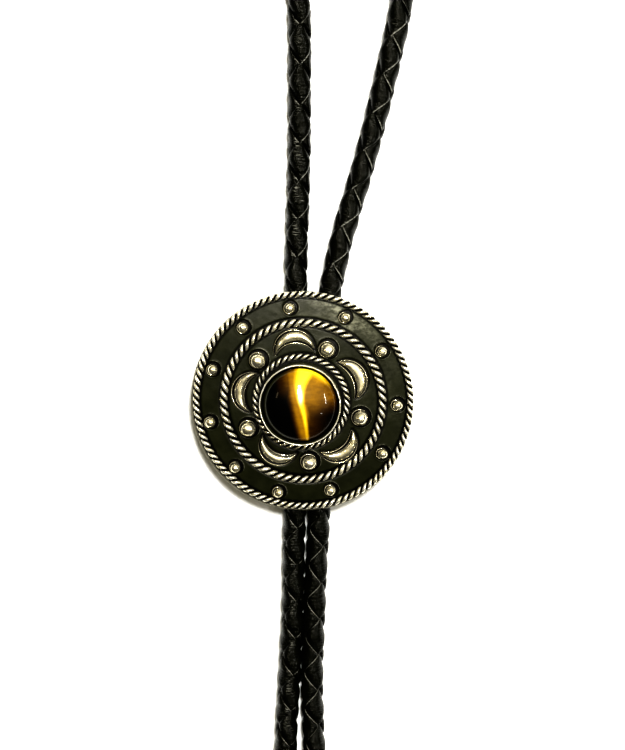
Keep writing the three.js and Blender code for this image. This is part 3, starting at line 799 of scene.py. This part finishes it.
def crescents():
    """Domed crescents with pointed tips, each on a thin flat foot whose bright bare edges are a painted highlight line.
    """
    shape = Shape()
    for k, row in enumerate(CRESCENTS):
        outer, inner = crescent_frame(row)
        nt, nc = 44, 20
        t = np.sin(np.linspace(-0.5, 0.5, nt) * math.pi)
        t = 0.55 * t + 0.45 * np.linspace(-1, 1, nt)
        a, b = inner(t), outer(t)
        width = np.linalg.norm(b - a, axis=1)
        c = 0.5 - 0.5 * np.cos(math.pi * np.linspace(0.0, 1.0, nc))
        plan = a[:, None, :] + (b - a)[:, None, :] * (0.05 + 0.88 * c)[None, :, None]
        swell = (1.0 - np.abs(2.0 * c - 1.0) ** 2.4) ** 0.55
        rise = CRESCENT_H * 1.02 * np.clip(width / width.max() * 1.7, 0.0, 1.0) ** 0.62
        base = disc_top(np.hypot(plan[..., 0], plan[..., 1]))
        z = base + rise[:, None] * swell[None, :]
        points = np.concatenate([plan, z[..., None]], axis=-1)
        points[..., 2] += ripple(points, 1.6, 60 + k) * 0.028 * swell[None, :]
        under = points.copy()
        under[..., 2] = base - 0.3
        n = nt * nc
        worn = np.broadcast_to(smooth(0.40, 0.80, swell)[None, :], (nt, nc)) * smooth(0.0, 0.25, rise / CRESCENT_H)[:, None]
        top = grid_faces(nt, nc)
        low = grid_faces(nt, nc)[:, ::-1] + n
        loop = np.concatenate([np.arange(nc), np.arange(1, nt) * nc + nc - 1, (nt - 1) * nc + np.arange(nc - 2, -1, -1),
                               np.arange(nt - 2, 0, -1) * nc])
        walls = np.stack([loop, loop + n, np.roll(loop, -1) + n, np.roll(loop, -1)], axis=1)
        shape.add(np.vstack([points.reshape(-1, 3), under.reshape(-1, 3)]), np.vstack([top, low, walls]),
                  worn=np.append(worn.reshape(-1), np.zeros(n)))
        # Foot, with bright bare edges as a painted highlight line round the crescent
        grow, shift = 0.20, np.array([-0.19, -0.15])
        across = (b - a) / np.maximum(width, 1e-3)[:, None]
        fa = a - across * grow + shift
        fb = b + across * grow + shift
        nf = 9
        cf = np.array([0.0, 0.025, 0.060, 0.080, 0.5, 0.920, 0.940, 0.975, 1.0])
        plan = fa[:, None, :] + (fb - fa)[:, None, :] * cf[None, :, None]
        base = disc_top(np.hypot(plan[..., 0], plan[..., 1]))
        hf = np.array([0.06, 0.19, 0.19, 0.10, 0.08, 0.10, 0.19, 0.19, 0.06])
        points = np.concatenate([plan, (base + hf[None, :])[..., None]], axis=-1)
        under = points.copy()
        under[..., 2] = base - 0.3
        n = nt * nf
        top = grid_faces(nt, nf)
        low = grid_faces(nt, nf)[:, ::-1] + n
        loop = np.concatenate([np.arange(nf), np.arange(1, nt) * nf + nf - 1, (nt - 1) * nf + np.arange(nf - 2, -1, -1),
                               np.arange(nt - 2, 0, -1) * nf])
        walls = np.stack([loop, loop + n, np.roll(loop, -1) + n, np.roll(loop, -1)], axis=1)
        shape.add(np.vstack([points.reshape(-1, 3), under.reshape(-1, 3)]), np.vstack([top, low, walls]),
                  worn=np.append(np.tile([0.7, 1.0, 1.0, 0.0, 0.0, 0.0, 1.0, 1.0, 0.7], nt), np.zeros(n)))
    return shape.make("crescents", BEAD_SILVER)


def bezel():
    """Thin bezel wall with a slightly rolled, hand-burnished rim and the join of its strip."""
    shape = Shape()
    out, wall, top = BEZEL_R, BEZEL_WALL, BEZEL_TOP
    foot = float(disc_top(out)) - 0.3
    profile, worn = [], []
    for z, r, w in ((foot, out - 0.02, 0.0), (foot + 0.8, out - 0.02, 0.0), (foot + 1.6, out - 0.03, 0.15), (foot + 2.6, out - 0.03, 0.30),
                    (top - 1.0, out - 0.02, 0.34), (top - 0.42, out + 0.00, 0.42), (top - 0.22, out - 0.01, 0.62),
                    (top - 0.08, out - 0.06, 0.85), (top, out - 0.13, 1.0), (top + 0.01, out - 0.20, 1.0), (top - 0.04, out - 0.27, 0.5),
                    (top - 0.14, out - 0.37, 0.1), (top - 0.40, out - 0.43, 0.0), (top - 1.2, out - 0.47, 0.0),
                    (9.6, out - wall, 0.0), (foot, out - wall, 0.0)):
        profile.append((r, z))
        worn.append(w)

    def uneven(r, z, a):
        lift = np.clip((z - foot) / (top - foot), 0.0, 1.0)
        r = r + lift * (0.035 * np.sin(3 * a + 0.6) + 0.02 * np.sin(8 * a + 2.0) + 0.012 * np.sin(23 * a))
        join = np.exp(-((np.mod(a - math.radians(82.0) + math.pi, 2 * math.pi) - math.pi) / 0.035) ** 2)
        nick = np.exp(-((np.mod(a - math.radians(62.0) + math.pi, 2 * math.pi) - math.pi) / 0.05) ** 2)
        z = z + lift ** 6 * (0.03 * np.sin(5 * a) + 0.02 * np.sin(13 * a + 1.0) - 0.10 * join - 0.07 * nick)
        r = r + lift ** 3 * 0.07 * (join - nick)
        return r, z

    lathe(shape, profile[::-1], 240, BEZEL_X, BEZEL_Y, wobble=uneven, worn=worn[::-1])
    return shape.make("bezel", BEZEL_SILVER)


def stone():
    """Round cabochon. Attributes: glow is the bright band, a painted reflection, warm the golden brown zones beside it.
    """
    shape = Shape()
    steps = 180
    rise = STONE_TOP - STONE_GIRDLE
    a = np.linspace(0.0, math.pi / 2.0, 64)[:-1]
    profile = [(0.0, STONE_LOW), (STONE_R - 0.15, STONE_LOW), (STONE_R, STONE_LOW + 0.15)]
    profile += [(STONE_R * math.cos(v), STONE_GIRDLE + rise * math.sin(v)) for v in a]
    profile += [(0.0, STONE_TOP)]
    base = Shape()
    lathe(base, profile, steps, BEZEL_X, BEZEL_Y)
    points = base.points[0]
    # The zones are laid out square to a line of sight that leans a little up and to the right.
    u = (points[:, 0] - BEZEL_X - 0.062 * (points[:, 2] - STONE_GIRDLE)) / STONE_R
    v = (points[:, 1] - BEZEL_Y - 0.164 * (points[:, 2] - STONE_GIRDLE)) / STONE_R
    far = np.hypot(u, v)
    # Painted chatoyant band, a painted reflection: rows of (v, left edge, right edge) from the bottom edge to the top
    # edge.
    rows = np.array([(-1.00, 0.185, 0.225), (-0.95, 0.180, 0.220), (-0.70, 0.150, 0.200), (-0.455, 0.105, 0.175), (-0.32, 0.082, 0.160),
                     (-0.20, 0.045, 0.145), (-0.07, 0.012, 0.115), (0.05, -0.025, 0.085), (0.175, -0.060, 0.080), (0.395, -0.095, 0.090),
                     (0.545, -0.115, 0.135), (0.67, -0.110, 0.200), (0.805, -0.090, 0.290), (0.90, -0.080, 0.400), (1.10, -0.070, 0.80)])
    left, right = np.interp(v, rows[:, 0], rows[:, 1]), np.interp(v, rows[:, 0], rows[:, 2])
    soft = np.interp(v, [-1.0, -0.2, 0.3, 1.0], [0.045, 0.060, 0.085, 0.130])
    middle = 0.5 * (left + right)
    glow = smooth(-1.6 * soft, 1.0 * soft, u - left) * (1.0 - smooth(-1.2 * soft, 1.6 * soft, u - right))
    glow *= 0.90 + 0.10 * smooth(-1.0, 0.3, v)
    clock = np.degrees(np.arctan2(u, v))
    # A painted reflection along the stone's upper-right edge.
    rim = smooth(0.76, 1.02, far) * smooth(-12.0, 12.0, clock) * (1.0 - smooth(30.0, 76.0, clock))
    glow = np.maximum(glow, 0.95 * rim)
    # Flanks: orange brown on the left of the band, mottled golden brown on the right, fading to black below.
    flank = np.interp(v, [-1.0, -0.9, -0.6, -0.3, 0.0, 0.2, 0.5, 0.8, 1.0], [-0.02, -0.04, -0.12, -0.19, -0.26, -0.31, -0.34, -0.40, -0.46])
    near_left = smooth(-0.10, 0.14, u - flank) * np.interp(v, [-1.0, -0.6, 0.0, 0.6, 1.0], [0.82, 0.76, 0.72, 0.76, 0.72])
    outer_left = 0.42 * smooth(0.10, 0.55, v) * smooth(-0.72, -0.28, u) + 0.16 * smooth(0.45, 0.85, v) * smooth(-0.8, -0.5, u)
    left_side = np.maximum(near_left, outer_left)
    fade = smooth(-0.42, 0.16, v - 0.10 * smooth(0.3, 0.9, u))
    right_side = (0.66 - 0.10 * smooth(0.35, 0.80, u)) * fade
    right_side += 0.20 * (1.0 - fade) * (1.0 - smooth(0.25, 0.62, u)) + 0.10 * (1.0 - fade) * (1.0 - smooth(0.5, 0.9, u))
    right_side = np.maximum(right_side, 0.80 * (1.0 - smooth(0.02, 0.22, u - right)) * smooth(-0.9, -0.1, v))
    right_side = np.maximum(right_side, 0.62 * (1.0 - smooth(0.02, 0.10, u - right)))
    right_side += 0.20 * smooth(0.45, 0.80, v) * smooth(0.2, 0.5, u)
    warm = np.where(u < 0.5 * (left + right), left_side, right_side)
    warm *= 1.0 - 0.35 * smooth(0.90, 1.0, far) * (1.0 - rim)
    warm = np.clip(warm, 0.0, 1.0)
    # Painted highlight: the silky band is painted palest where it faces the light.
    pale = smooth(0.0, 0.9, np.exp(-((u - 0.005 + 0.05 * (v - 0.26)) / 0.062) ** 2 - (np.abs(v - 0.25) / 0.21) ** 2.0))
    olive = smooth(0.90, 0.95, far) * smooth(0.0, 0.35, -u) * (1.0 - smooth(0.75, 1.0, np.abs(v)))
    shape.add(points, base.faces[0], base.faces[1] if len(base.faces) > 1 else None, glow=glow, warm=warm,
              olive=olive, pale=pale)
    return shape.make("tigers_eye_cabochon", STONE_MATERIAL)


concho_disc = disc()
rope_outer = rope("rope_outer", OUTER_ROPE[0], OUTER_ROPE[1], 93, ROPES_X, ROPES_Y, 1)
rope_middle = rope("rope_middle", MIDDLE_ROPE[0], MIDDLE_ROPE[1], 61, ROPES_X, ROPES_Y, 2)
rope_bezel = rope("rope_bezel", BEZEL_ROPE[0], BEZEL_ROPE[1], 42, BEZEL_X, BEZEL_Y, 3)
beads_outer = beads("beads_outer", OUTER_BEADS, OUTER_BEAD_R, 100)
beads_inner = beads("beads_inner", INNER_BEADS, INNER_BEAD_R, 300)
moons = crescents()
bezel_ring = bezel()
cabochon = stone()

# ------------------------------------------------------------------------------------------------
# Clip and tips
# ------------------------------------------------------------------------------------------------
CLIP_X, CLIP_W, CLIP_H, CLIP_L, CHANNEL_W, CHANNEL_H = 1.30, 12.60, 6.30, 14.0, 10.20, 5.0


def clip():
    """Plain sleeve with rounded corners and rolled ends, one oblong channel along Y."""
    shape = Shape()
    sides = 96

    def round_rect(w, h, r):
        a = 2.0 * math.pi * (np.arange(sides) + 0.5) / sides
        q = a / (math.pi / 2.0)
        k = np.floor(q).astype(int) % 4
        cx = np.where((k == 0) | (k == 3), 1, -1) * (w / 2.0 - r)
        cy = np.where(k < 2, 1, -1) * (h / 2.0 - r)
        return np.stack([cx + r * np.cos(a), cy + r * np.sin(a)], axis=-1)

    outer = lambda d: round_rect(CLIP_W - 2 * d, CLIP_H - 2 * d, 1.5 - d * 0.8)
    inner = lambda d: round_rect(CHANNEL_W + 2 * d, CHANNEL_H + 2 * d, CHANNEL_H / 2.0 + d - 0.001)
    half = CLIP_L / 2.0
    rings = []
    for y, d in ((-half + 0.28, 0.0), (-half + 0.08, 0.09), (-half, 0.28)):
        rings.append((y, outer(d)))
    for y, d in ((-half, 0.22), (-half + 0.08, 0.07), (-half + 0.25, 0.0), (half - 0.25, 0.0), (half - 0.08, 0.07), (half, 0.22)):
        rings.append((y, inner(d)))
    for y, d in ((half, 0.28), (half - 0.08, 0.09), (half - 0.28, 0.0)):
        rings.append((y, outer(d)))
    points = np.array([[(CLIP_X + p[0], y, CLIP_H / 2.0 + p[1]) for p in ring] for y, ring in rings])
    worn = np.broadcast_to(np.array([1, 1, 1, 0.9, 0.6, 0.3, 0.3, 0.6, 0.9, 1, 1, 1])[:, None], points.shape[:2])
    shape.add(points, grid_faces(len(rings), sides, close_rows=True, close_columns=True), worn=worn.reshape(-1))
    obj = shape.make("slide_sleeve", CLIP_METAL, smooth_shade=False)
    obj.data.polygons.foreach_set("use_smooth", np.full(len(obj.data.polygons), True))
    obj.data.set_sharp_from_angle(angle=math.radians(35.0))
    return obj


def tip(name, x, y, z):
    """Round ferrule lying along -Y: collar, grooved rings, slim waist and domed end, with an open mouth for the cord."""
    shape = Shape()
    rows = [(0.0, 2.6, 0.1), (2.36, 2.6, 0.2), (2.42, 0.25, 0.4), (2.55, 0.02, 1.0), (2.72, 0.0, 1.0), (2.86, 0.10, 1.0), (2.90, 0.35, 1.0),
            (2.90, 0.85, 1.0), (2.80, 1.00, 0.3), (2.78, 1.15, 0.0), (2.80, 1.30, 0.3), (2.90, 1.45, 1.0), (2.90, 2.15, 1.0),
            (2.80, 2.30, 0.3), (2.78, 2.45, 0.0), (2.80, 2.60, 0.3), (2.90, 2.75, 1.0), (2.90, 3.35, 1.0), (2.82, 3.60, 0.9),
            (2.62, 3.85, 0.2), (2.52, 4.00, 0.0), (2.52, 4.4, 0.8), (2.53, 6.0, 1.0), (2.55, 20.0, 1.0), (2.55, 33.6, 1.0), (2.50, 34.1, 0.6),
            (2.38, 34.3, 0.0), (2.38, 34.6, 0.0), (2.50, 34.8, 0.6), (2.55, 35.3, 1.0), (2.53, 35.9, 1.0), (2.46, 36.8, 1.0), (2.30, 37.7, 1.0),
            (2.02, 38.5, 1.0), (1.60, 39.2, 1.0), (1.10, 39.65, 1.0), (0.55, 39.9, 1.0), (0.0, 39.98, 1.0)]
    base = Shape()
    lathe(base, [(r, along) for r, along, _ in rows], 72, worn=[w for _, _, w in rows])
    p = base.points[0]
    points = np.stack([x + p[:, 0], y - 0.3 - p[:, 2], z + p[:, 1]], axis=1)
    shape.add(points, base.faces[0], base.faces[1], worn=base.attributes["worn"][0])
    return shape.make(name, TIP_METAL)


sleeve = clip()
ferrule_left = tip("ferrule_left", *LEFT_RUN[0])
ferrule_right = tip("ferrule_right", *RIGHT_RUN[-1])

# ------------------------------------------------------------------------------------------------
# Each piece, listed with what it stands for, is attached to the root body; the plain CAD parts are hidden
# ------------------------------------------------------------------------------------------------
PIECES = [
    (concho_disc, "antique_silver"), (rope_outer, "antique_silver"), (rope_middle, "antique_silver"), (rope_bezel, "antique_silver"),
    (beads_outer, "antique_silver"), (beads_inner, "antique_silver"), (moons, "antique_silver"), (bezel_ring, "antique_silver"),
    (cabochon, "tigers_eye"), (sleeve, "plain_metal"), (ferrule_left, "tip_metal"), (ferrule_right, "tip_metal"), (cord, "black_leather")]
for obj, name in PIECES:
    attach(obj, "root")
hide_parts("concho")
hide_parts("stone")
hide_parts("slide_clip")
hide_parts("tip_left")
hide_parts("tip_right")
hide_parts("braided_cord")

# ------------------------------------------------------------------------------------------------
# Surface, light and view
# ------------------------------------------------------------------------------------------------
floor_nodes = Nodes("white_surface")
floor_nodes.set(Base_Color=(0.90, 0.90, 0.88, 1.0), Roughness=0.85)
floor_nodes.shader.inputs["Specular IOR Level"].default_value = 0.1
floor_shape = Shape()
floor_shape.add([(-1500, -1500, 0), (1500, -1500, 0), (1500, 1500, 0), (-1500, 1500, 0)], [[0, 1, 2, 3]])
floor = floor_shape.make("white_surface", floor_nodes.material)


def lamp(name, way, distance, width, height, radiance, colour=(1.0, 1.0, 1.0), about=(0.0, 0.0, 0.006), mirrored=True, lights=True):
    """An area light in direction way from the ornament, facing it, of that radiance. Mirrored ones show in glossy surfaces."""
    way = Vector(way).normalized()
    data = bpy.data.lights.new(name, "AREA")
    data.shape = "RECTANGLE"
    data.size, data.size_y = width, height
    data.energy = radiance * math.pi * width * height
    data.color = colour
    obj = bpy.data.objects.new(name, data)
    back = way
    side = Vector((0.0, 1.0, 0.0)).cross(back)
    side = Vector((1.0, 0.0, 0.0)) if side.length < 1e-3 else side.normalized()
    top = back.cross(side).normalized()
    at = Vector(about) + way * distance
    obj.matrix_world = Matrix(((side.x, top.x, back.x, at.x), (side.y, top.y, back.y, at.y), (side.z, top.z, back.z, at.z), (0, 0, 0, 1)))
    obj.visible_glossy = mirrored
    obj.visible_diffuse = lights
    SCENE.collection.objects.link(obj)
    return obj


lamp("key", (0.165, 0.395, 0.904), 1.3, 0.21, 0.21, 126.0, mirrored=False)
lamp("main", (-0.07, 0.31, 0.948), 1.3, 0.10, 0.38, 50.0, colour=(1.0, 0.96, 0.86), lights=False)
lamp("sheen", (0.10, 0.16, 0.982), 1.5, 0.42, 0.32, 0.55, colour=(1.0, 0.97, 0.80), lights=False)
lamp("window", (0.70, 0.08, 0.71), 1.5, 0.055, 0.46, 40.0)
lamp("low_right", (0.52, -0.34, 0.78), 1.5, 0.12, 0.035, 16.0)
lamp("left", (-0.68, 0.15, 0.72), 1.5, 0.10, 0.25, 4.0, colour=(1.0, 0.85, 0.6))

world = bpy.data.worlds.new("room")
SCENE.world = world
world.use_nodes = True
tree = world.node_tree
tree.nodes.clear()
out = tree.nodes.new("ShaderNodeOutputWorld")
background = tree.nodes.new("ShaderNodeBackground")
coordinate = tree.nodes.new("ShaderNodeTexCoord")
toward = tree.nodes.new("ShaderNodeVectorMath")
toward.operation = "DOT_PRODUCT"
toward.inputs[1].default_value = Vector((0.30, 0.42, 0.86)).normalized()
ramp = tree.nodes.new("ShaderNodeValToRGB")
tree.links.new(coordinate.outputs["Generated"], toward.inputs[0])
tree.links.new(toward.outputs["Value"], ramp.inputs["Fac"])
split = tree.nodes.new("ShaderNodeSeparateXYZ")
below = tree.nodes.new("ShaderNodeMapRange")
below.inputs["From Min"].default_value, below.inputs["From Max"].default_value = -0.06, -0.30
under = tree.nodes.new("ShaderNodeMix")
under.data_type = "RGBA"
under.inputs[7].default_value = (0.42, 0.41, 0.38, 1.0)
tree.links.new(coordinate.outputs["Generated"], split.inputs[0])
tree.links.new(split.outputs["Z"], below.inputs["Value"])
tree.links.new(below.outputs["Result"], under.inputs[0])
tree.links.new(ramp.outputs["Color"], under.inputs[6])
tree.links.new(under.outputs[2], background.inputs["Color"])
tree.links.new(background.outputs[0], out.inputs["Surface"])
ramp.color_ramp.interpolation = "EASE"
ramp.color_ramp.elements[0].position, ramp.color_ramp.elements[0].color = 0.20, (0.010, 0.009, 0.005, 1.0)
ramp.color_ramp.elements[1].position, ramp.color_ramp.elements[1].color = 1.0, (0.98, 0.94, 0.80, 1.0)
for at, level in ((0.56, 0.07), (0.74, 0.40)):
    ramp.color_ramp.elements.new(at).color = (level, 0.93 * level, 0.72 * level, 1.0)
background.inputs["Strength"].default_value = 1.0

SCENE.view_settings.view_transform = "Standard"
SCENE.view_settings.look = "Very High Contrast"
SCENE.view_settings.exposure = 0.0
SCENE.view_settings.gamma = 1.0
